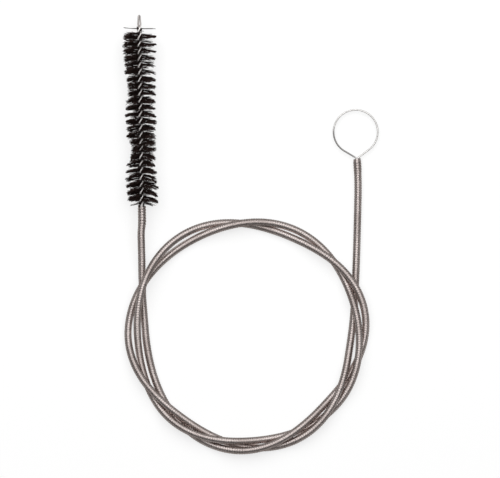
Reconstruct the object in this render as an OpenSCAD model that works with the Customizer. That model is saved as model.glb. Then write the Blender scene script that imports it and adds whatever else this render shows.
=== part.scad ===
// Flexible test tube brush. A head of bristles on a twisted wire stem sits on one end of a long
// spring shaft, and a wire finger ring on the other. The shaft lies in a loose coil.
// +Z is up and z = 0 is the surface it lies on. The head and the ring both point along +Y, and
// the origin lies midway between them.

/* [Brush head] */
// Diameter over the bristles
bristle_d = 22; // [14:0.5:32]
// Length of stem that carries bristles
bristle_len = 110; // [60:1:160]
// Wire that is folded in half and twisted into the stem
core_wire_d = 1.1; // [0.8:0.05:1.5]
// Length of one full turn of the twist
twist_pitch = 8.7; // [6:0.1:14]
// Length of the folded eye at the tip
eye_len = 6.7; // [4:0.1:12]
// Width of the opening in the eye
eye_gap = 0.4; // [0.2:0.1:3]
// Bare stem between the shaft and the first bristle
neck_gap = 1; // [0.5:0.5:6]
// Bare stem between the last bristle and the eye
tip_gap = 0.6; // [0.4:0.1:6]
// Lean of the head to the left, in degrees
head_lean = 0.8; // [0:0.1:4]

/* [Spring shaft] */
// Outer diameter of the spring
spring_d = 4.4; // [3.2:0.1:5]
// Wire that the spring is wound from
spring_wire_d = 1.3; // [0.8:0.05:1.5]
// Play between the spring's end turns and the wires they grip
grip_play = 0.05; // [0.02:0.01:0.15]
// Length of spring that is stretched over the stem
stem_grip_len = 10; // [6:0.5:16]
// Length of spring that is stretched over the ring's legs
ring_grip_len = 6; // [4:0.5:10]

/* [Coil] */
// Inner diameter of the coil
coil_id = 119; // [100:1:128]
// Outer diameter of the coil
coil_od = 157; // [148:1:180]
// Height of the coil where its turns cross
coil_h = 13; // [8:0.5:18]

/* [Finger ring] */
// Outer diameter of the ring
ring_od = 28.4; // [22:0.2:36]
// Wire that the ring is bent from
ring_wire_d = 1; // [0.7:0.05:1.3]
// Distance from the shaft's end to the middle of the ring
ring_reach = 16.9; // [15:0.1:26]
// Inside radius of the bend where each leg leaves the shaft
leg_bend = 1; // [0.6:0.1:2]
// Lean of the ring to the left, in degrees
ring_lean = 3; // [0:0.5:10]

/* [Hidden] */

// Where the stem enters the shaft, where the ring's legs do, and the middle of the coil
neck_at = [-67.3, -54.7];
mouth_at = [66, -25.7];
coil_at = [-2, -136.7];

// The shaft's way into the coil from its grip on the stem, and from its grip on the ring's legs.
// The third number is how high the shaft is above the surface.
brush_route = [[-67.7, -71, 8.3], [-67.6, -79, 6.4], [-67.4, -88, 3.6], [-67.3, -96.5, 1.2], [-67.1, -104, 0]];
ring_route = [[66.6, -44, 0], [66.4, -56, 0], [66.1, -68, 0], [65.8, -80, 0], [65.4, -92, 0], [64.9, -104, 0]];

// Two strands lie this share of their diameter apart, pressed a little into each other
strand_press = 0.96;
stem_d = core_wire_d * (1 + strand_press);
stem_bore_d = stem_d + 2 * grip_play;
stem_grip_d = stem_bore_d + 2 * spring_wire_d;
// The ring's two legs lie side by side, just clear of each other
legs_gap = 0.04;
leg_x = (ring_wire_d + legs_gap) / 2;
legs_bore_d = 2 * ring_wire_d + legs_gap + 2 * grip_play;
ring_grip_d = legs_bore_d + 2 * spring_wire_d;
// Wires stop this far short of the end of the grip around them
tail_short = 1;

head_z = bristle_d / 2;
mouth_z = ring_grip_d / 2;
twist_top = neck_gap + bristle_len + tip_gap;
// Play between the stem and the solid that stands for the bristles
bristle_play = 0.1;
bristle_bevel = 2;

// The ring's wire runs round a circle, and each leg is the line that touches both that circle
// and the bend at the shaft's end.
ring_r = (ring_od - ring_wire_d) / 2;
bend_r = leg_bend + ring_wire_d / 2;
bend_to_ring = norm([leg_x + bend_r, ring_reach]);
leg_turn = asin((ring_r + bend_r) / bend_to_ring) - atan((leg_x + bend_r) / ring_reach);
ring_steps = 40;

// The spring's first turns close in to this share of the grip's radius, over this length
end_turn_share = 0.72;
end_turn_len = 1.6;
tube_sides = 12;
round_fn = 48;

function unit(v) = v / norm(v);
function reverse(list) = [for (i = [len(list) - 1:-1:0]) list[i]];

// The straight start of a shaft end: its mouth, the end of its closed-in turns, and its far end
function grip_path(mouth, back, length) = [
    for (s = [0, end_turn_len, (end_turn_len + length) / 2, length]) mouth + s * back
];

// The ring of points round one place on a path
function tube_ring(path, i, r) =
    let(along = unit(path[min(i + 1, len(path) - 1)] - path[max(i - 1, 0)]))
    let(side = unit(cross(along, [0, 0, 1])))
    let(up = cross(side, along))
    [for (k = [0:tube_sides - 1]) path[i] + r * (cos(360 * k / tube_sides) * side + sin(360 * k / tube_sides) * up)];

// A closed tube along a path, with its own radius at each place
module tube(path, radii) {
    last = len(path) - 1;
    start_cap = [for (k = [0:tube_sides - 1]) k];
    end_cap = [for (k = [tube_sides - 1:-1:0]) last * tube_sides + k];
    walls = [
        for (i = [0:last - 1], k = [0:tube_sides - 1])
            let(a = i * tube_sides, b = a + tube_sides, next = (k + 1) % tube_sides)
            [a + k, b + k, b + next, a + next]
    ];
    polyhedron([for (i = [0:last]) each tube_ring(path, i, radii[i])], concat([start_cap], walls, [end_cap]));
}

// One end of the shaft: a grip stretched over what it holds, then plain spring along a route
module shaft_end(mouth, back, grip_d, grip_len, bore_d, route) {
    grip = grip_path(mouth, back, grip_len);
    path = concat(grip, [for (p = route) [p.x, p.y, p.z + spring_d / 2]]);
    radii = [
        for (i = [0:len(path) - 1])
            i == 0 ? end_turn_share * grip_d / 2 : i < len(grip) ? grip_d / 2 : spring_d / 2
    ];
    difference() {
        tube(path, radii);
        coil_solid();
        translate(mouth) rotate([0, 0, atan2(back.y, back.x)]) rotate([0, 90, 0])
            translate([0, 0, -1]) cylinder(h = grip_len + 1, d = bore_d, $fn = round_fn);
    }
}

// Places what is drawn pointing up +Z from the shaft's mouth along the brush head
module at_head() {
    translate([neck_at.x, neck_at.y, head_z]) rotate([0, 0, head_lean]) rotate([-90, 0, 0]) children();
}

module core_wire() color("silver") at_head() {
    tail_len = stem_grip_len - tail_short;
    twist_len = tail_len + twist_top;
    turns = twist_len / twist_pitch;
    eye_r = (eye_gap + core_wire_d) / 2;
    translate([0, 0, -tail_len]) rotate([0, 0, -360 * turns])
        linear_extrude(height = twist_len, twist = -360 * turns, slices = ceil(9 * turns))
            for (side = [-1, 1]) translate([side * strand_press * core_wire_d / 2, 0]) circle(d = core_wire_d, $fn = 10);
    eye_bend_z = twist_top + eye_len - eye_r - core_wire_d / 2;
    eye_root = min(core_wire_d, tip_gap / 2);
    for (side = [-1, 1]) translate([side * eye_r, 0, twist_top - eye_root])
        cylinder(h = eye_bend_z - twist_top + eye_root, d = core_wire_d, $fn = round_fn);
    translate([0, 0, eye_bend_z]) rotate([90, 0, 0]) rotate_extrude(angle = 180, $fn = round_fn)
        translate([eye_r, 0]) circle(d = core_wire_d, $fn = round_fn);
}

module bristles() color("black") at_head() translate([0, 0, neck_gap]) {
    inner = stem_d / 2 + bristle_play;
    outer = bristle_d / 2;
    rotate_extrude($fn = round_fn) polygon([
        [inner, 0],
        [outer - bristle_bevel, 0],
        [outer, bristle_bevel],
        [outer, bristle_len - bristle_bevel],
        [outer - bristle_bevel, bristle_len],
        [inner, bristle_len]
    ]);
}

module shaft_brush_end() color("dimgray")
    shaft_end([neck_at.x, neck_at.y, head_z], [sin(head_lean), -cos(head_lean), 0],
        stem_grip_d, stem_grip_len, stem_bore_d, brush_route);

// The outer shape of the coil: a ring that is flat underneath, with a round top
module coil_solid() {
    width = (coil_od - coil_id) / 2;
    edge_r = coil_h / 2;
    translate([coil_at.x, coil_at.y, 0]) rotate_extrude($fn = 2 * round_fn) translate([coil_id / 2, 0]) {
        square([width, edge_r]);
        for (x = [edge_r, width - edge_r]) translate([x, edge_r]) circle(r = edge_r, $fn = round_fn);
        translate([edge_r, 0]) square([width - 2 * edge_r, coil_h]);
    }
}

module shaft_coil() color("dimgray") coil_solid();

module shaft_ring_end() color("dimgray")
    shaft_end([mouth_at.x, mouth_at.y, mouth_z], [sin(ring_lean), -cos(ring_lean), 0],
        ring_grip_d, ring_grip_len, legs_bore_d, ring_route);

// The ring's wire, as points from the end of one leg round to the end of the other
function leg_path(side) = [
    [side * leg_x, tail_short - ring_grip_len, 0],
    for (turn = [0:0.2:1]) [
        side * (leg_x + bend_r - bend_r * cos(turn * leg_turn)),
        bend_r * sin(turn * leg_turn),
        0
    ]
];
function ring_path() = concat(
    leg_path(-1),
    [for (turn = [0:1 / ring_steps:1])
        let(angle = 180 + leg_turn - turn * (180 + 2 * leg_turn))
        [ring_r * cos(angle), ring_reach + ring_r * sin(angle), 0]],
    reverse(leg_path(1))
);

module finger_ring() color("gainsboro")
    translate([mouth_at.x, mouth_at.y, mouth_z]) rotate([0, 0, ring_lean])
        tube(ring_path(), [for (p = ring_path()) ring_wire_d / 2]);

core_wire();
bristles();
shaft_brush_end();
shaft_coil();
shaft_ring_end();
finger_ring();
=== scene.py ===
"""Flexible tube brush: the finished surfaces of every piece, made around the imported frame.

Lengths are in metres, in the frame's own axes. +Z is up from the surface that the brush lies on, and the
head and the finger ring both point along +Y.
"""

import math

import bpy
import numpy as np
from mathutils import Matrix, Vector
from mathutils.kdtree import KDTree


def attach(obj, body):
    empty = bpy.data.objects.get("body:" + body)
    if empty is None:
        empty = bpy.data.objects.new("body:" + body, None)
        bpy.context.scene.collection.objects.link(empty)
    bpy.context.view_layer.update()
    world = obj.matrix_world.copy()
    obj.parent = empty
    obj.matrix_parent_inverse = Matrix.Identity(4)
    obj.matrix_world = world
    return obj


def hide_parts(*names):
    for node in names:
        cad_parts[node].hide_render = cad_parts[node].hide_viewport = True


bl_info = {
    "name": "Flexible Tube Brush",
    "version": (1, 0, 0),
    "blender": (4, 5, 0),
    "location": "3D View > Sidebar > Tube Brush",
    "description": "Makes the spring shaft, bristles, stem and finger ring of a flexible tube brush",
    "category": "Object",
}

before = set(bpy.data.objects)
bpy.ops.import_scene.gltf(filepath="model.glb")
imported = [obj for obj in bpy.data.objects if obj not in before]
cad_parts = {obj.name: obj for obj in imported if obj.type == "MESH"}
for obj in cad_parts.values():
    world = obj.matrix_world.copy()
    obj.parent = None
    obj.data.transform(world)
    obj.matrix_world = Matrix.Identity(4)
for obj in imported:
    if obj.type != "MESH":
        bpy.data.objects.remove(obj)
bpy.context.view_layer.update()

BODY = "root"
MM = 0.001

# Where the stem enters the shaft, where the ring's legs do, and the middle of the coil
NECK = Vector((-0.0673, -0.0547, 0.011))
MOUTH = Vector((0.066, -0.0257, 0.00237))
COIL_CENTRE = Vector((-0.002, -0.1367, 0))
HEAD_LEAN = math.radians(0.8)
RING_LEAN = math.radians(3)

# The shaft's way into the coil from its grip on the stem, and from its grip on the ring's legs.
# The third number is how high the shaft is above the surface.
BRUSH_ROUTE = [
    (-0.0677, -0.071, 0.0083),
    (-0.0676, -0.079, 0.0064),
    (-0.0674, -0.088, 0.0036),
    (-0.0673, -0.0965, 0.0012),
    (-0.0671, -0.104, 0),
]
RING_ROUTE = [
    (0.0666, -0.044, 0),
    (0.0664, -0.056, 0),
    (0.0661, -0.068, 0),
    (0.0658, -0.08, 0),
    (0.0654, -0.092, 0),
    (0.0649, -0.104, 0),
]
# Inside the coil, each end runs on beside the turns before it joins them
COIL_WAY_IN = [(-0.067, -0.11, 0), (-0.0663, -0.1195, 0), (-0.0656, -0.128, 0), (-0.0648, -0.137, 0)]
COIL_WAY_OUT = [(0.0622, -0.1367, 0), (0.0634, -0.1275, 0), (0.0641, -0.119, 0), (0.0647, -0.111, 0)]

# The strand swings between the inside and the outside of the coil as it runs round: degrees turned from
# +X, and distance from the coil's middle
COIL_SWINGS = [
    (192, 0.0621),
    (260, 0.0699),
    (316, 0.063),
    (377, 0.0747),
    (427, 0.0682),
    (485, 0.0756),
    (549, 0.0676),
    (582, 0.0693),
    (635, 0.0635),
    (698, 0.0699),
    (734, 0.0691),
    (786, 0.0735),
    (836, 0.0697),
    (894, 0.0741),
    (955, 0.0634),
    (1016, 0.0698),
    (1072, 0.0635),
]
# On its way in it climbs over the strands that it crosses: degrees turned, and how many lie under it
COIL_CLIMBS = [
    (192, 0),
    (246, 0),
    (270, 1),
    (300, 1),
    (328, 0),
    (356, 0),
    (382, 1),
    (404, 1),
    (432, 0),
    (468, 0),
    (508, 2),
    (516, 2),
    (550, 0),
    (571, 0),
    (588, 1),
    (619, 1),
    (649, 0),
    (678, 0),
    (704, 1),
    (739, 1),
    (759, 0),
    (786, 0),
    (811, 1),
    (816, 1),
    (844, 0),
    (871, 1),
    (876, 1),
    (896, 0.2),
    (920, 1),
    (942, 1),
    (970, 0),
    (1002, 0),
    (1029, 1),
    (1055, 1),
    (1078, 0),
]
# Degrees from one of the coil's points to the next, points of the curve between two points of the route,
# and the even spacing that the whole line then gets
COIL_STEP = 5
CURVE_STEPS = 24
SHAFT_SPACING = 0.0002
# How many of the line's points there are to each one that the search for close strands takes
MARK_STEP = 5

# The end turns close in to this share of the grip's diameter over the mouth's length, and past the grip the
# spring narrows to its own diameter again
STEM_MOUTH_SHARE = 0.96
RING_MOUTH_SHARE = 0.88
MOUTH_LEN = 2 * MM
STEM_GRIP_TAPER = 4 * MM
RING_GRIP_TAPER = 3 * MM
# The turns aren't quite evenly spaced: waves of the pitch as a share of it, a length and a start
UNEVEN_PITCH = [(0.025, 0.0131, 0), (0.02, 0.0047, 1)]
# Points along the wire for each turn
TURN_STEPS = 14
# The wire's section has its points where it shows, with a flat towards the shaft's middle
SECTION = np.radians([-138, -84, -38, 0, 38, 84, 138])
# Coiling has pressed the wire wider along the shaft, and flatter on its outside, than it was drawn
WIRE_SPREAD = 1.15
WIRE_FLAT = 0.42
# Painted light: the gap between two strands is painted lighter where one's middle comes this close to the
# other's outside. What lies within this length along the shaft is the same strand.
GAP_LIGHT_REACH = 0.004
OWN_STRETCH = 20 * MM

# How the filaments lie down each side of the head, with lengths in millimetres: distance from the shaft, how
# far they reach, how far their tips lie back towards the shaft, the share by which each row's tips draw
# together, and how untidy they are, from 0 to 1
LEFT_SIDE = [
    (0, 7.8, 0.3, 0.6, 0.1),
    (3, 8.6, 1.0, 0.4, 0.2),
    (8, 9.6, 1.4, 0.05, 0.35),
    (16, 10.2, 1.6, 0.1, 0.3),
    (26, 9.8, 1.3, 0.15, 0.3),
    (30, 7.6, 0.8, 0, 0.8),
    (34, 5.8, 0.7, 0, 0.9),
    (39, 7.0, 0.6, 0, 0.9),
    (44, 8.9, 1.3, 0.3, 0.3),
    (50, 9.5, 1.4, 0.3, 0.3),
    (59, 10.2, 1.2, 0.3, 0.4),
    (65, 9.4, 0.8, 0.1, 0.5),
    (69, 7.9, 0.5, 0, 0.8),
    (77, 8.5, 0.5, 0, 0.8),
    (85, 9.8, 0.7, 0, 0.7),
    (92, 10.6, 0.9, 0, 0.8),
    (97, 10.7, 1.1, -0.3, 0.9),
    (104, 10.8, 0.9, -0.3, 0.9),
    (107.5, 10.2, -0.4, 0, 0.4),
    (111, 10.6, -0.6, 0.6, 0),
]
RIGHT_SIDE = [
    (0, 10.2, 0.2, 0.6, 0.1),
    (3, 10.7, 2.0, 0.2, 0.2),
    (7, 10.6, 3.2, 0.1, 0.3),
    (13, 10.5, 3.1, 0.1, 0.35),
    (20, 10.3, 2.2, 0.15, 0.35),
    (28, 9.0, 1.5, 0.15, 0.4),
    (34, 9.2, 1.0, -0.25, 0.8),
    (46, 9.7, 1.0, -0.35, 0.8),
    (51, 10.4, 1.5, 0.2, 0.25),
    (58, 9.8, 1.6, 0.25, 0.3),
    (70, 9.8, 1.4, 0.3, 0.25),
    (80, 10.1, 1.2, 0.5, 0.25),
    (85, 10, 1.2, 0.8, 0.35),
    (89, 9.6, 1.2, 0.9, 0.5),
    (93, 10.8, 1.2, 1, 0.05),
    (101, 10.9, 0.9, 1, 0),
    (106, 10.8, 0.2, 1, 0),
    (111, 10.7, 0, 0.6, 0),
]
# The share of filaments that is whole, on the left and on the right, at millimetres from the shaft. The rest
# has broken off close to the stem.
WHOLE_FILAMENTS = [
    (1.1, 0.25, 0.25),
    (2.2, 0.3, 0.3),
    (3, 1, 1),
    (79, 1, 1),
    (82, 1, 0.5),
    (91, 1, 0.45),
    (95, 1, 1),
    (106.9, 1, 1),
    (107.7, 0.03, 0.03),
    (110.8, 0.03, 0.03),
]
# Length of the broken ones in millimetres, and how much it varies
STUB_LENGTH = 1.5
STUB_SCATTER = 0.15
# A filament's points, at these shares of its length and at these degrees round it
FILAMENT_SHARES = [0.1, 0.4, 0.72, 1.0]
FILAMENT_SECTION = [90, 210, 330]
# A direction that no filament runs in, from which its section is turned
NO_FILAMENTS_WAY = (0.13, 0.37, 0.92)
# Powers of the share of its length by which a filament turns, draws together and bends
TURN_POWER = 1.4
GATHER_POWER = 0.8
BEND_POWER = 1.8
# How the shades are spread, as the two numbers of a beta curve, and the thinnest and thickest filament
SHADE_SPREAD = (1.6, 3.4)
THICKNESS_SPREAD = (0.85, 1.1)
# Tufts of filaments: their spacing, how much it varies, and the share by which they draw together
TUFT_SPACING = 0.0008
TUFT_SCATTER = 0.0002
TUFT_PULL = 0.6
# How much chance moves the tips of a tuft or of a loose filament: the part that is always there, and the
# part that comes with untidiness. Leans and reaches are in millimetres, turns in radians.
TUFT_LEAN = (0.15, 0.35)
LOOSE_LEAN = (0.2, 0.7)
LOOSE_TURN = (0.08, 0.25)
TUFT_TURN = 0.15
ROOT_TURN = 0.05
TUFT_REACH = 0.3
LOOSE_REACH = 0.6
# The lean's share in the filaments that stand straight up, and what those to the sides have on top
LEAN_BY_SIDE = (0.2, 0.8)

# Points round the stem's and the ring's wires, length of a step along the stem, and steps round each bend
WIRE_SIDES = 14
STRAND_STEP = 0.45 * MM
EYE_STEPS = 6
LEG_STEPS = 5
RING_STEPS = 96
# The stem's strands part in steps, each of which starts this many millimetres further in
SPREAD_STEPS = 8
SPREAD_INSET = 0.4
# Length over which they part again into the eye
EYE_ROOT = 0.8 * MM
# Slack for rounding, how close doubled points lie, and the angle from which an edge stays sharp
ROUNDING = 1e-7
MERGE_WITHIN = 1e-6
SHARP_ANGLE = math.radians(50)

# How quickly the lines of drawn wire change along it and round it. For a wire without a map of its own, its
# places are stretched by these scales first: the stem's lines run along +Y, and the ring's finish has none.
LINE_SCALE = (260, 26, 1)
STEM_LINES = (11.5, 10, 3000)
RING_LINES = (5.8, 58, 1500)

FLOOR_SIZE = 4
LAMP_AT = (-0.03, 0.61, 1.6)


def length_setting(name, description, default):
    """A length that a user can change."""
    return bpy.props.FloatProperty(name=name, description=description, default=default, unit="LENGTH")


def share_setting(name, description, default):
    """A share, from 0 to 1, that a user can change."""
    return bpy.props.FloatProperty(
        name=name, description=description, default=default, subtype="FACTOR", min=0, max=1
    )


def colour_setting(name, description, default):
    """A colour that a user can change."""
    return bpy.props.FloatVectorProperty(name=name, description=description, default=default, subtype="COLOR")


class ShaftSettings(bpy.types.PropertyGroup):
    """Sizes and colours of the spring shaft."""

    outer_d: length_setting("Outer diameter", "Diameter of the spring, less its crests", 0.0044)
    crest_h: length_setting("Crest height", "How far each turn's crest stands out past the diameter", 0.00009)
    wire_d: length_setting("Wire", "Wire that the spring is wound from", 0.0013)
    turn_pitch: length_setting("Pitch", "Length of shaft for each turn", 0.00146)
    grip_pitch: length_setting("Grip pitch", "Length for each turn that is stretched over a wire", 0.00169)
    stem_grip_d: length_setting("Grip on the stem", "Outer diameter over the stem", 0.004856)
    stem_grip_len: length_setting("Grip length on the stem", "Length stretched over the stem", 0.01)
    ring_grip_d: length_setting("Grip on the ring", "Outer diameter over the ring's legs", 0.00474)
    ring_grip_len: length_setting("Grip length on the ring", "Length stretched over the ring's legs", 0.006)
    rise: length_setting("Rise at a crossing", "Height between the middles of two crossing strands", 0.0045)
    bright: colour_setting("Bright steel", "Colour of the rubbed crests", (0.6, 0.543, 0.524))
    dull: colour_setting("Dull steel", "Colour of tarnished wire", (0.54, 0.475, 0.45))
    # Painted light: the wire's sides between the turns are painted lighter than its crests, making up for the
    # shade in the grooves
    painted_groove_light: colour_setting("Grooves", "Colour deep between the turns", (0.64, 0.565, 0.54))
    # Painted shade: the wire's sides and underside, which face away from +Z, are painted this darker colour
    painted_side_shade: colour_setting("Flanks", "Colour of the unrubbed sides and underside", (0.35, 0.302, 0.28))
    # Painted light: a lighter side colour where two strands lie close, standing in for light between them
    painted_gap_light: colour_setting("Polished sides", "Colour where two strands rub each other", (1, 0.91, 0.88))


class HeadSettings(bpy.types.PropertyGroup):
    """Sizes and colours of the bristle head."""

    filament_count: bpy.props.IntProperty(
        name="Filaments", description="Filaments that the stem holds, each with two ends", default=4300
    )
    filament_d: length_setting("Filament", "Diameter of one filament", 0.00022)
    trim_d: length_setting("Trimmed diameter", "Diameter that the head was cut to", 0.0218)
    flatten: share_setting("Flatten", "Share by which filaments have been pressed out to the two sides", 0.35)
    taper: share_setting("Taper", "Share by which filaments at each row's edges are shorter", 0.11)
    first: length_setting("First filament", "Distance from the shaft to the first filament", 0.0012)
    last: length_setting("Last filament", "Distance from the shaft to the last filament", 0.1108)
    seed: bpy.props.IntProperty(name="Seed", description="Seed of the filaments' scatter", default=7)
    dark: colour_setting("Dark filaments", "Colour of the darkest filaments", (0.006, 0.003, 0.0026))
    light: colour_setting("Faded filaments", "Colour of the most faded filaments", (0.03, 0.0165, 0.014))


class StemSettings(bpy.types.PropertyGroup):
    """Sizes and colours of the twisted stem."""

    wire_d: length_setting("Wire", "Wire that is folded and twisted", 0.0011)
    twist_pitch: length_setting("Twist", "Length of one full turn of the twist", 0.0087)
    press: share_setting("Press", "Share of the wire that parts the two strands' middles", 0.96)
    tail_len: length_setting("Tail", "Length of stem inside the shaft", 0.009)
    twist_top: length_setting("Top of the twist", "Distance from the shaft to the eye", 0.1116)
    eye_len: length_setting("Eye", "Length of the folded eye", 0.0067)
    eye_gap: length_setting("Eye opening", "Width of the opening in the eye", 0.0004)
    eye_turn: bpy.props.FloatProperty(
        name="Eye turn",
        description="How far the eye's tip is turned",
        default=math.radians(70),
        subtype="ANGLE",
    )
    spread: length_setting("Spread", "From the stem's middle to each strand's, amid the filaments", 0.00086)
    # Painted light: amid the filaments the wire is painted much lighter than at the eye, making up for the
    # shade that the filaments cast on it
    bright: colour_setting("Bright steel", "Colour of clean wire", (0.96, 0.93, 0.915))
    dull: colour_setting("Dull steel", "Colour of tarnished wire", (0.86, 0.82, 0.805))
    # Painted shade: the wire's sides, which face away from +Z, are painted this dark colour
    painted_side_shade: colour_setting("Flank", "Colour down the wire's unrubbed sides", (0.13, 0.108, 0.1))
    bare: colour_setting("Bare steel", "Colour of the eye, past the filaments", (0.34, 0.308, 0.295))
    bare_at: length_setting("Bare from", "How far along +Y the stem turns bare", 0.0564)


class RingSettings(bpy.types.PropertyGroup):
    """Sizes and colours of the finger ring."""

    outer_d: length_setting("Outer diameter", "Outer diameter of the ring", 0.0284)
    wire_d: length_setting("Wire", "Wire that the ring is bent from", 0.001)
    reach: length_setting("Reach", "Distance from the shaft's end to the middle of the ring", 0.0169)
    leg_bend: length_setting("Leg bend", "Inside radius of the bend where each leg leaves the shaft", 0.001)
    legs_gap: length_setting("Gap between legs", "Gap between the two legs in the shaft", 0.00004)
    tail_len: length_setting("Tail", "Length of each leg inside the shaft", 0.005)
    bright: colour_setting("Bright steel", "Colour of clean wire", (0.6, 0.585, 0.575))
    dull: colour_setting("Dull steel", "Colour of rubbed wire", (0.44, 0.43, 0.42))
    # Painted shade: a darker stretch of the lower left leg, standing in for the darker reflection that the
    # wire shows there
    wear_and_shade: colour_setting("Worn steel", "Colour of the worn stretch", (0.2, 0.192, 0.188))
    painted_shade_at: bpy.props.FloatVectorProperty(
        name="Worn place",
        description="Middle of the worn stretch",
        default=(0.0565, -0.0175, 0.0024),
        subtype="TRANSLATION",
        unit="LENGTH",
        precision=4,
    )


class StageSettings(bpy.types.PropertyGroup):
    """The camera, the floor and the light."""

    view_width: length_setting("View width", "Width of floor that the camera sees", 0.31)
    view_height: length_setting("Camera height", "Height of the camera above the floor", 6.0)
    view_middle: bpy.props.FloatVectorProperty(
        name="View middle",
        description="The place on the floor that the camera looks at",
        size=2,
        default=(-0.00037, -0.07515),
        unit="LENGTH",
    )
    floor: colour_setting("Floor", "Colour of the floor", (0.9, 0.9, 0.9))
    backdrop: share_setting("Backdrop", "Share of plain white in the floor that the camera sees", 0.7)
    lamp_power: bpy.props.FloatProperty(
        name="Lamp", description="Power of the lamp overhead", default=48.0, unit="POWER"
    )
    lamp_d: length_setting("Lamp diameter", "Diameter of the lamp overhead", 2.54)
    sky: bpy.props.FloatProperty(
        name="Room light", description="Strength of the even light from the room", default=0.2
    )


SETTINGS = {
    "brush_shaft": ShaftSettings,
    "brush_head": HeadSettings,
    "brush_stem": StemSettings,
    "brush_ring": RingSettings,
    "brush_stage": StageSettings,
}


# Curves


def ease(share):
    """From 0 to 1, starting and ending level."""
    return (1 - np.cos(np.pi * np.clip(share, 0, 1))) / 2


def eased(table, place):
    """The value at a place in a table of (place, value) pairs, easing from each pair to the next."""
    for (start, low), (end, high) in zip(table, table[1:]):
        if start <= place <= end:
            return low + (high - low) * ease((place - start) / (end - start))
    raise ValueError(f"{place} is outside the table")


def coil_turns(centre_z, rise):
    """The strand's middle at each step round the coil."""
    turns = []
    for angle in range(COIL_SWINGS[0][0], COIL_SWINGS[-1][0] + 1, COIL_STEP):
        out = eased(COIL_SWINGS, angle)
        z = centre_z + rise * eased(COIL_CLIMBS, angle)
        turn = math.radians(angle)
        turns.append((COIL_CENTRE.x + out * math.cos(turn), COIL_CENTRE.y + out * math.sin(turn), z))
    return turns


def shaft_route(shaft):
    """The points that the shaft's middle passes through, from the stem to the ring."""
    low = shaft.outer_d / 2
    stem_back = Vector((math.sin(HEAD_LEAN), -math.cos(HEAD_LEAN), 0))
    ring_back = Vector((math.sin(RING_LEAN), -math.cos(RING_LEAN), 0))
    stem_grip = [NECK + stem_back * shaft.stem_grip_len * share for share in (0, 0.5, 1)]
    ring_grip = [MOUTH + ring_back * shaft.ring_grip_len * share for share in (1, 0.5, 0)]
    way_in = [(x, y, z + low) for x, y, z in BRUSH_ROUTE + COIL_WAY_IN]
    way_out = [(x, y, z + low) for x, y, z in COIL_WAY_OUT + RING_ROUTE[::-1]]
    return np.array([*stem_grip, *way_in, *coil_turns(low, shaft.rise), *way_out, *ring_grip])


def lengths_along(points):
    """How far along the line each of its points is."""
    return np.concatenate([[0], np.cumsum(np.linalg.norm(np.diff(points, axis=0), axis=1))])


def smooth_line(points, spacing, lowest):
    """A smooth curve through the points, at even spacing and nowhere under the lowest height."""
    steps = np.diff(points, axis=0)
    long = np.linalg.norm(steps, axis=1)[:, None]
    slopes = steps / long
    inner = (slopes[1:] * long[:-1] + slopes[:-1] * long[1:]) / (long[:-1] + long[1:])
    tangents = np.vstack([slopes[:1], inner, slopes[-1:]])
    share = np.linspace(0, 1, CURVE_STEPS, endpoint=False)[None, :, None]
    a, b = points[:-1, None], points[1:, None]
    ta, tb = tangents[:-1, None] * long[:, None], tangents[1:, None] * long[:, None]
    curve = (
        (2 * share**3 - 3 * share**2 + 1) * a
        + (share**3 - 2 * share**2 + share) * ta
        + (3 * share**2 - 2 * share**3) * b
        + (share**3 - share**2) * tb
    )
    fine = np.vstack([curve.reshape(-1, 3), points[-1:]])
    at = lengths_along(fine)
    even = np.linspace(0, at[-1], round(at[-1] / spacing) + 1)
    line = np.stack([np.interp(even, at, fine[:, k]) for k in range(3)], axis=1)
    line[:, 2] = np.maximum(line[:, 2], lowest)
    return line


def unit(vectors):
    """Each vector at length 1."""
    return vectors / np.linalg.norm(vectors, axis=-1, keepdims=True)


def frames_along(line):
    """Two directions across a line at each of its points, which turn as little as they can."""
    along = unit(np.gradient(line, axis=0))
    side = np.empty_like(line)
    side[0] = unit(np.cross(along[0], (0, 0, 1)))
    for i in range(1, len(line)):
        side[i] = side[i - 1] - along[i] * (side[i - 1] @ along[i])
        side[i] /= np.linalg.norm(side[i])
    return side, np.cross(along, side)


# Meshes


def mesh_piece(name, points, faces):
    """A new smooth object at the origin with this mesh."""
    mesh = bpy.data.meshes.new(name)
    mesh.from_pydata(points.tolist(), [], faces)
    mesh.shade_smooth()
    piece = bpy.data.objects.new(name, mesh)
    bpy.context.scene.collection.objects.link(piece)
    return piece


def set_point_values(mesh, name, values):
    """Stores one number for each point under a name that a material can read."""
    mesh.attributes.new(name, "FLOAT", "POINT").data.foreach_set("value", values.astype(np.float32))


def tube_faces(rings, sides):
    """The walls of a tube, ring after ring, and then its two end caps."""
    walls = []
    for i in range(rings - 1):
        for k in range(sides):
            here, there = i * sides, (i + 1) * sides
            walls.append((here + k, here + (k + 1) % sides, there + (k + 1) % sides, there + k))
    last = (rings - 1) * sides
    return [*walls, tuple(reversed(range(sides))), tuple(range(last, last + sides))]


def set_wire_map(mesh, rings, sides, along):
    """A UV map named wire: metres along the wire, and the share of the way round it."""
    uv = np.zeros((len(mesh.loops), 2), np.float32)
    i, k = np.divmod(np.arange((rings - 1) * sides), sides)
    here, there = along[i], along[i + 1]
    near, far = k / sides, (k + 1) / sides
    corners = np.stack([here, near, here, far, there, far, there, near], axis=1)
    uv[: 4 * len(i)] = corners.reshape(-1, 2)
    mesh.uv_layers.new(name="wire").data.foreach_set("uv", uv.ravel())


# Materials


def feed(tree, socket, value):
    """Links a socket to another one, or sets a value on it."""
    if isinstance(value, bpy.types.NodeSocket):
        tree.links.new(value, socket)
    else:
        socket.default_value = value


def add_node(tree, kind, inputs=None, **settings):
    """Adds a shader node with these settings, and feeds its inputs."""
    node = tree.nodes.new(f"ShaderNode{kind}")
    for name, value in settings.items():
        setattr(node, name, value)
    for name, value in (inputs or {}).items():
        feed(tree, node.inputs[name], value)
    return node


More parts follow.
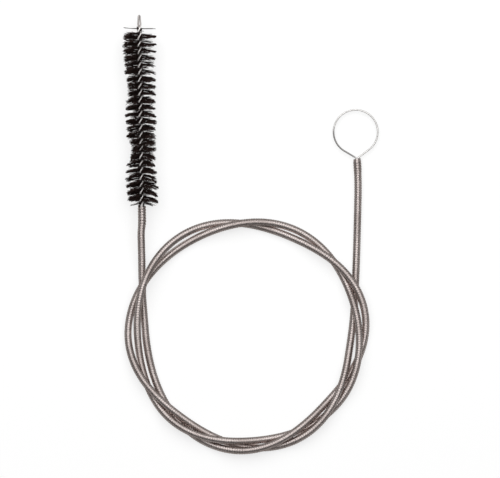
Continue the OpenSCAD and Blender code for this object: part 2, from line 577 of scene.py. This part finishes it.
def mixed_colour(tree, factor, a, b):
    """The colour between a and b at a factor."""
    node = add_node(tree, "Mix", data_type="RGBA")
    for index, value in ((0, factor), (6, a), (7, b)):
        feed(tree, node.inputs[index], value)
    return node.outputs[2]


def ranged(tree, value, start=0, end=1, low=0, high=1, **settings):
    """A number that goes from low to high while the value goes from start to end."""
    inputs = {"Value": value, "From Min": start, "From Max": end, "To Min": low, "To Max": high}
    return add_node(tree, "MapRange", inputs, **settings).outputs[0]


def worked_out(tree, operation, *values, **settings):
    """The result of an operation on two or three values."""
    return add_node(tree, "Math", dict(enumerate(values)), operation=operation, **settings).outputs[0]


def noise(tree, place, scale, detail):
    """A random pattern, from 0 to 1."""
    return add_node(tree, "TexNoise", {"Vector": place, "Scale": scale, "Detail": detail}).outputs["Fac"]


def point_value(tree, name):
    """A number that is stored for each point of the mesh."""
    return add_node(tree, "Attribute", attribute_name=name).outputs["Fac"]


def place_or_normal(tree, which):
    """The place or the normal, in the piece's own axes."""
    return add_node(tree, "TexCoord").outputs[which]


def axis_value(tree, vector, axis):
    """One axis of a vector."""
    return add_node(tree, "SeparateXYZ", {"Vector": vector}).outputs[axis]


def opaque(colour):
    """A colour with full alpha."""
    return (*colour, 1)


def new_group(name, inputs, outputs):
    """A shader node group with these sockets: the group, what it is given and what it puts out."""
    group = bpy.data.node_groups.new(name, "ShaderNodeTree")
    for direction, sockets in (("INPUT", inputs), ("OUTPUT", outputs)):
        for socket, kind in sockets.items():
            group.interface.new_socket(socket, in_out=direction, socket_type=f"NodeSocket{kind}")
    return group, group.nodes.new("NodeGroupInput").outputs, group.nodes.new("NodeGroupOutput").inputs


def wire_finish_group():
    """Drawn wire: lines along it, patches of tarnish and small pits."""
    group, given, made = new_group(
        "wire_finish",
        {"Along": "Vector", "Place": "Vector", "Bright": "Color", "Dull": "Color", "Tarnish": "Float"},
        {"Color": "Color", "Roughness": "Float", "Height": "Float"},
    )
    lines_at = add_node(group, "VectorMath", {0: given["Along"], 1: LINE_SCALE}, operation="MULTIPLY")
    lines = noise(group, lines_at.outputs[0], 1, 3)
    patches = ranged(group, noise(group, given["Place"], 55, 4), 0.44, 0.66)
    pits = ranged(group, noise(group, given["Place"], 3200, 1), 0.58, 0.72, 0, 0.5)
    tarnish = worked_out(group, "MULTIPLY", patches, given["Tarnish"])
    lined = worked_out(group, "MULTIPLY_ADD", lines, 0.55, tarnish)
    dulled = worked_out(group, "ADD", lined, pits, use_clamp=True)
    feed(group, made["Color"], mixed_colour(group, dulled, given["Bright"], given["Dull"]))
    feed(group, made["Roughness"], ranged(group, dulled, low=0.3, high=0.52))
    feed(group, made["Height"], worked_out(group, "SUBTRACT", lines, pits))
    return group


def new_material(name):
    """A material with no nodes yet, and its node tree."""
    material = bpy.data.materials.new(name)
    material.use_nodes = True
    material.node_tree.nodes.clear()
    return material, material.node_tree


def finish_material(tree, colour, roughness, normal, metallic, extra=None):
    """The Principled shader that a material ends in."""
    inputs = {"Base Color": colour, "Roughness": roughness, "Normal": normal, "Metallic": metallic}
    shader = add_node(tree, "BsdfPrincipled", {**inputs, **(extra or {})})
    add_node(tree, "OutputMaterial", {"Surface": shader.outputs[0]})


def wire_material(name, group, bright, dull, tarnish, along):
    """Steel wire, drawn along a UV map or stretched places: its node tree, finish, bump and place."""
    tree = new_material(name)[1]
    place = place_or_normal(tree, "Object")
    if isinstance(along, str):
        along = add_node(tree, "UVMap", uv_map=along).outputs["UV"]
    else:
        along = add_node(tree, "Mapping", {"Vector": place, "Scale": along}).outputs[0]
    colours = {"Bright": opaque(bright), "Dull": opaque(dull)}
    finish = {"Along": along, "Place": place, "Tarnish": tarnish, **colours}
    wire = add_node(tree, "Group", finish, node_tree=group).outputs
    bump = add_node(tree, "Bump", {"Height": wire["Height"], "Strength": 0.35, "Distance": 0.00004})
    return tree, wire, bump.outputs[0], place


def spring_material(shaft, group):
    """The spring's wire, with painted light in its grooves, painted shade down its sides and underside, and
    painted light where strands lie close.
    """
    tree, wire, bump, _ = wire_material("shaft_steel", group, shaft.bright, shaft.dull, 0.45, "wire")
    # Painted light in the grooves: the wire's sides between the turns take the lighter groove colour
    shown = ranged(tree, point_value(tree, "crest"), 0.45, 0.92)
    colour = mixed_colour(tree, shown, opaque(shaft.painted_groove_light), wire["Color"])
    # Painted light in the gaps between strands that lie close together
    near = ranged(tree, point_value(tree, "beside"), 0, 0.5)
    side = mixed_colour(tree, near, opaque(shaft.painted_side_shade), opaque(shaft.painted_gap_light))
    # Painted shade: where the wire faces away from +Z it takes the darker side colour, which painted light
    # lightens where another strand lies close
    on_top = ranged(tree, point_value(tree, "facing_up"), 0.3, 0.9)
    colour = mixed_colour(tree, on_top, side, colour)
    tangent = add_node(tree, "Tangent", direction_type="UV_MAP", uv_map="wire")
    drawn = {
        "Anisotropic": 0.9,
        "Anisotropic Rotation": 0.25,
        "Tangent": tangent.outputs[0],
        "Specular Tint": opaque((0.3, 0.26, 0.24)),
    }
    rough = worked_out(tree, "MULTIPLY", wire["Roughness"], 1.45)
    finish_material(tree, colour, rough, bump, 1.0, drawn)


def stem_material(stem, group):
    """The stem's wire, with a dull zinc coat, painted shade down its sides, and a bare eye of darker grey;
    amid the filaments it is painted lighter, making up for their shade.
    """
    tree, wire, bump, place = wire_material("stem_steel", group, stem.bright, stem.dull, 0.3, STEM_LINES)
    rough = worked_out(tree, "MULTIPLY", wire["Roughness"], 1.15)
    # Painted shade down the wire's sides, where it faces away from +Z
    on_top = ranged(tree, axis_value(tree, place_or_normal(tree, "Normal"), "Z"), 0.25, 0.75)
    # Past the filaments the painted light ends, and the eye keeps the wire's own darker grey
    bare = ranged(tree, axis_value(tree, place, "Y"), stem.bare_at - MM, stem.bare_at, 0, 0.85)
    colour = mixed_colour(tree, bare, wire["Color"], opaque(stem.bare))
    colour = mixed_colour(tree, on_top, opaque(stem.painted_side_shade), colour)
    finish_material(tree, colour, rough, bump, 0.3)


def ring_material(ring, group):
    """The ring's wire, with painted shade on a stretch of its lower left leg, standing in for the darker
    reflection there.
    """
    tree, wire, bump, place = wire_material("ring_steel", group, ring.bright, ring.dull, 0.35, RING_LINES)
    # Painted shade round a place on the lower left leg
    away = add_node(tree, "VectorMath", {0: place, 1: tuple(ring.painted_shade_at)}, operation="DISTANCE")
    wear_and_shade = ranged(tree, away.outputs["Value"], 0.0088, 0.013, 1, 0, interpolation_type="SMOOTHSTEP")
    colour = mixed_colour(tree, wear_and_shade, wire["Color"], opaque(ring.wear_and_shade))
    finish_material(tree, colour, wire["Roughness"], bump, 1.0)


def filament_material(head):
    """Nylon: each filament has its own shade, and its cut end is paler."""
    material, tree = new_material("nylon_filament")
    colour = mixed_colour(tree, point_value(tree, "shade"), opaque(head.dark), opaque(head.light))
    # Wear only: each filament's cut end is paler
    wear_and_shade = ranged(tree, point_value(tree, "reach"), 0.8, 1, 0, 0.5)
    colour = mixed_colour(tree, wear_and_shade, colour, opaque(head.light))
    scuffs = noise(tree, place_or_normal(tree, "Object"), 2400, 2)
    rough = ranged(tree, scuffs, low=0.42, high=0.7)
    bump = add_node(tree, "Bump", {"Height": scuffs, "Strength": 0.2, "Distance": 0.00002}).outputs[0]
    nylon = {"Specular IOR Level": 0.2, "Specular Tint": opaque((1, 0.8, 0.76))}
    finish_material(tree, colour, rough, bump, 0.0, nylon)
    return material


def floor_material(stage):
    """The floor takes shadows, and what sees it also sees a share of plain white."""
    material, tree = new_material("floor")
    rough = ranged(tree, noise(tree, place_or_normal(tree, "Object"), 900, 2), low=0.7, high=0.85)
    inputs = {"Base Color": opaque(stage.floor), "Roughness": rough, "Specular IOR Level": 0.1}
    shader = add_node(tree, "BsdfPrincipled", inputs).outputs[0]
    ray = add_node(tree, "LightPath").outputs
    mirrored = worked_out(tree, "MAXIMUM", ray["Is Glossy Ray"], ray["Is Transmission Ray"])
    seen = worked_out(tree, "MAXIMUM", ray["Is Camera Ray"], mirrored)
    share = worked_out(tree, "MULTIPLY", seen, stage.backdrop)
    white = add_node(tree, "Emission", {"Strength": 1}).outputs[0]
    lit = add_node(tree, "MixShader", {0: share, 1: shader, 2: white})
    add_node(tree, "OutputMaterial", {"Surface": lit.outputs[0]})
    return material


# Pieces


def rubbed(line, at, where, probes):
    """From 0 to 1, how close another strand of the shaft comes to each of the places just past its wire,
    which sets where the gaps between strands are painted light.
    """
    marks, marks_at = line[::MARK_STEP], at[::MARK_STEP]
    tree = KDTree(len(marks))
    for i, mark in enumerate(marks):
        tree.insert(mark, i)
    tree.balance()
    closeness = np.zeros(len(where))
    for i, probe in enumerate(probes):
        found = tree.find_range(probe, GAP_LIGHT_REACH)
        near = [away for _, k, away in found if abs(marks_at[k] - where[i]) > OWN_STRETCH]
        if near:
            closeness[i] = 1 - min(near) / GAP_LIGHT_REACH
    return closeness


def spring_wire(shaft, line):
    """The spring's wire, wound round the shaft's middle line: its middle, way out, and how close other
    strands come, which sets the painted light between strands.
    """
    at = lengths_along(line)
    end = at[-1]
    grips = [
        (0, shaft.stem_grip_d * STEM_MOUTH_SHARE),
        (MOUTH_LEN, shaft.stem_grip_d),
        (shaft.stem_grip_len, shaft.stem_grip_d),
        (shaft.stem_grip_len + STEM_GRIP_TAPER, shaft.outer_d),
        (end - shaft.ring_grip_len - RING_GRIP_TAPER, shaft.outer_d),
        (end - shaft.ring_grip_len, shaft.ring_grip_d),
        (end - MOUTH_LEN, shaft.ring_grip_d),
        (end, shaft.ring_grip_d * RING_MOUTH_SHARE),
    ]
    outer = np.interp(at, *zip(*grips)) / 2
    # Straight steps cut inside each turn, so the points lie a little further out
    crest = (outer + shaft.crest_h) * 2 / (1 + math.cos(math.pi / TURN_STEPS))
    line = np.column_stack([line[:, :2], np.maximum(line[:, 2], crest)])
    stretch = np.clip((outer - shaft.outer_d / 2) / (shaft.stem_grip_d - shaft.outer_d) * 2, 0, 1)
    pitch = shaft.turn_pitch + (shaft.grip_pitch - shaft.turn_pitch) * stretch
    waves = 1
    for share, length, start in UNEVEN_PITCH:
        waves = waves + share * np.sin(at / length + start)
    pitch *= waves
    turned = np.concatenate([[0], np.cumsum(np.diff(at) / ((pitch[1:] + pitch[:-1]) / 2))])
    where = np.interp(np.arange(0, turned[-1], 1 / TURN_STEPS), turned, at)
    side, up = frames_along(line)
    angle = (2 * np.pi * np.arange(len(where)) / TURN_STEPS)[:, None]

    def at_place(values):
        return np.stack([np.interp(where, at, values[:, k]) for k in range(3)], axis=1)

    out = unit(np.cos(angle) * at_place(side) + np.sin(angle) * at_place(up))
    middle = at_place(line) + out * (np.interp(where, at, crest) - WIRE_FLAT * shaft.wire_d / 2)[:, None]
    return middle, out, rubbed(line, at, where, middle + out * shaft.outer_d / 2)


class BRUSH_OT_wind_shaft(bpy.types.Operator):
    """Winds the spring shaft along its route, through its grips and its coil"""

    bl_idname = "brush.wind_shaft"
    bl_label = "Wind the Shaft"

    def execute(self, context):
        shaft = context.scene.brush_shaft
        line = smooth_line(shaft_route(shaft), SHAFT_SPACING, shaft.outer_d / 2 + shaft.crest_h)
        middle, out, beside = spring_wire(shaft, line)
        along = unit(np.gradient(middle, axis=0))
        out = unit(out - along * (out * along).sum(1, keepdims=True))
        across = np.cross(along, out)
        outward = np.where(np.cos(SECTION) > 0, WIRE_FLAT, 1) * np.cos(SECTION)
        sideways = WIRE_SPREAD * np.sin(SECTION)
        around = outward[None, :, None] * out[:, None] + sideways[None, :, None] * across[:, None]
        points = middle[:, None] + around * shaft.wire_d / 2
        rings, sides = len(middle), len(SECTION)
        piece = mesh_piece("spring_shaft", points.reshape(-1, 3), tube_faces(rings, sides))
        set_wire_map(piece.data, rings, sides, lengths_along(middle))
        set_point_values(piece.data, "crest", np.tile((1 + np.cos(SECTION)) / 2, rings))
        set_point_values(piece.data, "facing_up", np.repeat(out[:, 2], sides))
        set_point_values(piece.data, "beside", np.repeat(beside, sides))
        piece.data.materials.append(bpy.data.materials["shaft_steel"])
        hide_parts("shaft_brush_end", "shaft_coil", "shaft_ring_end")
        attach(piece, BODY)
        return {"FINISHED"}


class BRUSH_OT_set_filaments(bpy.types.Operator):
    """Sets the filaments in the twist of the stem"""

    bl_idname = "brush.set_filaments"
    bl_label = "Set the Filaments"

    def execute(self, context):
        head, stem = context.scene.brush_head, context.scene.brush_stem
        random = np.random.default_rng(head.seed)
        count = head.filament_count
        along = head_frame()
        start = np.sort(random.uniform(head.first, head.last, count))
        luck = random.uniform(0, 1, count)
        shade = np.clip(random.beta(*SHADE_SPREAD, count), 0, 1)
        left, right = [filament_half(random, head, stem, start, luck, side) for side in (-1, 1)]
        paths = np.concatenate([left[:, ::-1], right], axis=1)
        rings = paths.shape[1]
        thick = head.filament_d / 2 * random.uniform(*THICKNESS_SPREAD, count)
        tangent = unit(np.gradient(paths, axis=1))
        aside = unit(np.cross(tangent, NO_FILAMENTS_WAY))
        above = np.cross(tangent, aside)
        turn = np.radians(FILAMENT_SECTION)[None, None, :, None]
        around = np.cos(turn) * aside[:, :, None] + np.sin(turn) * above[:, :, None]
        local = paths[:, :, None] + around * thick[:, None, None, None]
        points = local.reshape(-1, 3) @ np.array(along.to_3x3()).T + np.array(along.translation)
        sides = len(FILAMENT_SECTION)
        pattern = tube_faces(rings, sides)
        faces = [tuple(i * rings * sides + p for p in face) for i in range(count) for face in pattern]
        piece = mesh_piece("bristle_filaments", points, faces)
        reach = np.concatenate([FILAMENT_SHARES[::-1], FILAMENT_SHARES])
        set_point_values(piece.data, "shade", np.repeat(shade, rings * sides))
        set_point_values(piece.data, "reach", np.tile(np.repeat(reach, sides), count))
        piece.data.materials.append(filament_material(head))
        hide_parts("bristles")
        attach(piece, BODY)
        return {"FINISHED"}


def head_frame():
    """Places what is drawn pointing up +Z from the shaft's mouth along the brush head."""
    lean = Matrix.Rotation(HEAD_LEAN, 4, "Z")
    return Matrix.Translation(NECK) @ lean @ Matrix.Rotation(-math.pi / 2, 4, "X")


def table_values(table, column, start):
    """What a column of one of the head's tables says for filaments that start at these places."""
    return np.interp(start / MM, [row[0] for row in table], [row[column] for row in table])


def filament_half(random, head, stem, start, luck, side):
    """One end of every filament, from the stem out, drawn pointing up +Z."""
    count = len(start)
    turn = 2 * np.pi * (start - stem.twist_top) / stem.twist_pitch + np.pi / 2 + np.pi / 2 * (1 - side)
    # How a filament lies goes evenly from what the right side does to what the left side does
    rightward = (1 + np.cos(turn)) / 2

    def blended(left, right):
        return rightward * right + (1 - rightward) * left

    reach, lean, gather, mess = [
        blended(table_values(LEFT_SIDE, k, start), table_values(RIGHT_SIDE, k, start)) for k in (1, 2, 3, 4)
    ]
    whole = luck < blended(*[table_values(WHOLE_FILAMENTS, k, start) for k in (1, 2)])
    row_offset = (turn - np.pi * np.round(turn / np.pi)) * stem.twist_pitch / (2 * np.pi)
    tufts = np.arange(head.first, head.last, TUFT_SPACING)
    tufts = tufts + random.normal(0, TUFT_SCATTER, len(tufts))
    nearest = np.abs(start[:, None] - tufts[None]).argmin(1)
    to_tuft = (tufts[nearest] - start) * TUFT_PULL
    tuft_turn, tuft_lean, tuft_reach = random.normal(0, 1, (3, len(tufts)))[:, nearest]
    loose_turn, loose_lean, loose_reach = random.normal(0, 1, (3, count))
    to_side = np.cos(turn) ** 2
    drawn_in = to_tuft - gather * np.abs(np.cos(turn)) * row_offset

    def grown(parts, share):
        return parts[0] + parts[1] * share

    bent = -lean * grown(LEAN_BY_SIDE, to_side)
    bent = bent + tuft_lean * grown(TUFT_LEAN, mess) + loose_lean * grown(LOOSE_LEAN, mess)
    pressed = head.flatten / 2 * np.sin(2 * turn)
    turned = tuft_turn * TUFT_TURN - pressed + loose_turn * grown(LOOSE_TURN, mess)
    length = (reach + tuft_reach * TUFT_REACH - np.abs(loose_reach) * LOOSE_REACH) * MM
    length *= 1 - head.taper * np.sin(2 * turn) ** 2
    stub = (STUB_LENGTH + STUB_SCATTER * loose_reach) * MM
    length = np.where(whole, np.minimum(length, head.trim_d / 2), stub)
    # Filaments turn and bend mostly near their tips, and draw together mostly near the stem
    shares = np.array(FILAMENT_SHARES)[None]
    out = shares * length[:, None]
    angle = (turn + random.normal(0, ROOT_TURN, count))[:, None] + turned[:, None] * shares**TURN_POWER
    drawn_in = drawn_in[:, None] * shares**GATHER_POWER
    height = start[:, None] + drawn_in + bent[:, None] * MM * shares**BEND_POWER
    return np.stack([np.cos(angle) * out, np.sin(angle) * out, height], axis=2)


def select_only(piece):
    """Makes this piece the only one selected."""
    bpy.ops.object.select_all(action="DESELECT")
    piece.select_set(True)
    bpy.context.view_layer.objects.active = piece


def edit(piece):
    """Opens just this piece in edit mode."""
    select_only(piece)
    bpy.ops.object.mode_set(mode="EDIT")


def leave_edit():
    """Back to object mode."""
    bpy.ops.object.mode_set(mode="OBJECT")


def select_where(piece, test):
    """In edit mode, selects just the points whose place passes the test."""
    bpy.ops.mesh.select_mode(type="VERT")
    bpy.ops.mesh.select_all(action="DESELECT")
    leave_edit()
    for vertex in piece.data.vertices:
        vertex.select = test(vertex.co)
    bpy.ops.object.mode_set(mode="EDIT")


def add_wire_end(name, diameter, location, rotation=(0, 0, 0)):
    """The round end of a wire, with its place in its mesh."""
    bpy.ops.object.select_all(action="DESELECT")
    bpy.ops.mesh.primitive_circle_add(
        vertices=WIRE_SIDES, radius=diameter / 2, fill_type="NGON", location=location, rotation=rotation
    )
    piece = bpy.context.object
    piece.name = piece.data.name = name
    bpy.ops.object.transform_apply(location=True, rotation=True, scale=True)
    return piece


def extrude_by(step):
    """Draws the selected end of a wire out along a straight step."""
    bpy.ops.mesh.extrude_region_move(TRANSFORM_OT_translate={"value": tuple(step)})


def bend_by(angle, centre, axis, steps):
    """Draws the selected end of a wire out round a bend, anticlockwise seen from the tip of the axis."""
    bpy.ops.mesh.spin(steps=steps, angle=-angle, center=tuple(centre), axis=axis)


def close_wire(piece):
    """Merges doubled points, turns every face outwards and smooths all but the cut ends."""
    edit(piece)
    bpy.ops.mesh.select_all(action="SELECT")
    bpy.ops.mesh.remove_doubles(threshold=MERGE_WITHIN)
    bpy.ops.mesh.normals_make_consistent(inside=False)
    leave_edit()
    bpy.ops.object.shade_smooth_by_angle(angle=SHARP_ANGLE)


def place_piece(piece, matrix):
    """Puts a piece in its place, with its object back at the origin."""
    piece.matrix_world = matrix
    select_only(piece)
    bpy.ops.object.transform_apply(location=True, rotation=True, scale=True)


def twist_along(piece, limits, angle):
    """Twists the piece round Z, between two shares of its height."""
    twist = piece.modifiers.new("twist", "SIMPLE_DEFORM")
    twist.deform_method = "TWIST"
    twist.deform_axis = "Z"
    twist.limits = limits
    twist.angle = angle
    bpy.ops.object.modifier_apply(modifier=twist.name)


def deliver(piece, node, material):
    """Gives a piece its material and puts it in a CAD node's place."""
    piece.data.materials.clear()
    piece.data.materials.append(bpy.data.materials[material])
    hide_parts(node)
    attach(piece, BODY)


class BRUSH_OT_twist_stem(bpy.types.Operator):
    """Folds the stem's wire at its eye and twists its two strands round the filaments"""

    bl_idname = "brush.twist_stem"
    bl_label = "Twist the Stem"

    def execute(self, context):
        stem, head = context.scene.brush_stem, context.scene.brush_head
        closed = stem.press * stem.wire_d / 2
        length = stem.tail_len + stem.twist_top
        eye_r = (stem.eye_gap + stem.wire_d) / 2
        bend_z = stem.eye_len - eye_r - stem.wire_d / 2
        # One strand, straight for now, with the twist's top at z = 0
        strand = add_wire_end("stem", stem.wire_d, (closed, 0, -length))
        edit(strand)
        steps = round(length / STRAND_STEP)
        for _ in range(steps):
            extrude_by((0, 0, length / steps))
        # Filaments hold the strands apart, and that comes on in small steps at both ends
        low, high = head.first - stem.twist_top, head.last - stem.twist_top
        for k in range(SPREAD_STEPS):
            inset = k * SPREAD_INSET * MM
            select_where(strand, lambda p: low + inset < p.z < high - inset)
            bpy.ops.transform.translate(value=((stem.spread - closed) / SPREAD_STEPS, 0, 0))
        # Its half of the eye
        select_where(strand, lambda p: p.z > -ROUNDING)
        extrude_by((eye_r - closed, 0, EYE_ROOT))
        extrude_by((0, 0, bend_z - EYE_ROOT))
        bend_by(math.pi / 2, (0, 0, bend_z), (0, -1, 0), EYE_STEPS)
        bpy.ops.mesh.delete(type="ONLY_FACE")
        leave_edit()
        # The other strand is the same, turned half way round the stem
        bpy.ops.object.duplicate()
        other = context.object
        other.matrix_world = Matrix.Rotation(math.pi, 4, "Z")
        strand.select_set(True)
        context.view_layer.objects.active = strand
        bpy.ops.object.join()
        close_wire(strand)
        top = length / (length + stem.eye_len)
        twist_along(strand, (0, top), 2 * math.pi * length / stem.twist_pitch)
        twist_along(strand, (top, 1), stem.eye_turn)
        place_piece(strand, head_frame() @ Matrix.Translation((0, 0, stem.twist_top)))
        deliver(strand, "core_wire", "stem_steel")
        return {"FINISHED"}


class BRUSH_OT_bend_ring(bpy.types.Operator):
    """Bends the finger ring and its two legs from one wire"""

    bl_idname = "brush.bend_ring"
    bl_label = "Bend the Ring"

    def execute(self, context):
        ring = context.scene.brush_ring
        leg_x = (ring.wire_d + ring.legs_gap) / 2
        round_r = (ring.outer_d - ring.wire_d) / 2
        bend_r = ring.leg_bend + ring.wire_d / 2
        bend_x = leg_x + bend_r
        turn = math.asin((round_r + bend_r) / math.hypot(bend_x, ring.reach)) - math.atan(bend_x / ring.reach)
        # Each leg runs straight from its bend to the round part, which it touches
        leave = Vector((bend_x - bend_r * math.cos(turn), bend_r * math.sin(turn), 0))
        touch = Vector((round_r * math.cos(turn), ring.reach - round_r * math.sin(turn), 0))
        wire = add_wire_end("ring", ring.wire_d, (leg_x, -ring.tail_len, 0), (math.pi / 2, 0, 0))
        edit(wire)
        extrude_by((0, ring.tail_len, 0))
        bend_by(-turn, (bend_x, 0, 0), (0, 0, 1), LEG_STEPS)
        extrude_by(touch - leave)
        bend_by(math.pi + 2 * turn, (0, ring.reach, 0), (0, 0, 1), RING_STEPS)
        extrude_by((touch.x - leave.x, leave.y - touch.y, 0))
        bend_by(-turn, (-bend_x, 0, 0), (0, 0, 1), LEG_STEPS)
        extrude_by((0, -ring.tail_len, 0))
        leave_edit()
        close_wire(wire)
        place_piece(wire, Matrix.Translation(MOUTH) @ Matrix.Rotation(RING_LEAN, 4, "Z"))
        deliver(wire, "finger_ring", "ring_steel")
        return {"FINISHED"}


class BRUSH_OT_mix_finishes(bpy.types.Operator):
    """Mixes the steel finishes of the shaft, the stem and the ring"""

    bl_idname = "brush.mix_finishes"
    bl_label = "Mix the Finishes"

    def execute(self, context):
        scene = context.scene
        group = wire_finish_group()
        spring_material(scene.brush_shaft, group)
        stem_material(scene.brush_stem, group)
        ring_material(scene.brush_ring, group)
        return {"FINISHED"}


class BRUSH_OT_set_stage(bpy.types.Operator):
    """Sets up the camera, the floor and the light"""

    bl_idname = "brush.set_stage"
    bl_label = "Set the Stage"

    def execute(self, context):
        stage = context.scene.brush_stage
        camera = bpy.data.cameras.new("camera")
        camera.lens = camera.sensor_width * stage.view_height / stage.view_width
        eye = bpy.data.objects.new("camera", camera)
        eye.location = (*stage.view_middle, stage.view_height)
        context.scene.collection.objects.link(eye)
        context.scene.camera = eye

        bpy.ops.object.select_all(action="DESELECT")
        bpy.ops.mesh.primitive_plane_add(size=FLOOR_SIZE, location=(*stage.view_middle, 0))
        floor = context.object
        floor.name = "floor"
        floor.data.materials.append(floor_material(stage))

        lamp = bpy.data.lights.new("softbox", "AREA")
        lamp.shape = "DISK"
        lamp.size = stage.lamp_d
        lamp.energy = stage.lamp_power
        softbox = bpy.data.objects.new("softbox", lamp)
        softbox.location = LAMP_AT
        aim = Vector((*stage.view_middle, 0)) - softbox.location
        softbox.rotation_euler = aim.to_track_quat("-Z", "Y").to_euler()
        context.scene.collection.objects.link(softbox)

        world = bpy.data.worlds.new("room")
        world.use_nodes = True
        background = world.node_tree.nodes["Background"].inputs
        background["Color"].default_value = (1, 1, 1, 1)
        background["Strength"].default_value = stage.sky
        context.scene.world = world
        context.scene.view_settings.view_transform = "Standard"
        return {"FINISHED"}


class BRUSH_PT_tube_brush(bpy.types.Panel):
    """Lists the steps that make the brush"""

    bl_idname = "BRUSH_PT_tube_brush"
    bl_label = "Tube Brush"
    bl_space_type = "VIEW_3D"
    bl_region_type = "UI"
    bl_category = "Tube Brush"

    def draw(self, context):
        for step in STEPS:
            self.layout.operator(step.bl_idname)
        for name in SETTINGS:
            settings = getattr(context.scene, name)
            box = self.layout.box()
            for field in settings.bl_rna.properties:
                if not field.is_readonly and field.identifier != "name":
                    box.prop(settings, field.identifier)


STEPS = [
    BRUSH_OT_set_stage,
    BRUSH_OT_mix_finishes,
    BRUSH_OT_wind_shaft,
    BRUSH_OT_set_filaments,
    BRUSH_OT_twist_stem,
    BRUSH_OT_bend_ring,
]


def register():
    for settings in SETTINGS.values():
        bpy.utils.register_class(settings)
    for name, settings in SETTINGS.items():
        setattr(bpy.types.Scene, name, bpy.props.PointerProperty(type=settings))
    for step in STEPS:
        bpy.utils.register_class(step)
    bpy.utils.register_class(BRUSH_PT_tube_brush)


def unregister():
    bpy.utils.unregister_class(BRUSH_PT_tube_brush)
    for step in reversed(STEPS):
        bpy.utils.unregister_class(step)
    for name in SETTINGS:
        delattr(bpy.types.Scene, name)
    for settings in SETTINGS.values():
        bpy.utils.unregister_class(settings)


def main():
    register()
    for step in STEPS:
        group, name = step.bl_idname.split(".")
        getattr(getattr(bpy.ops, group), name)()


if __name__ == "__main__":
    main()
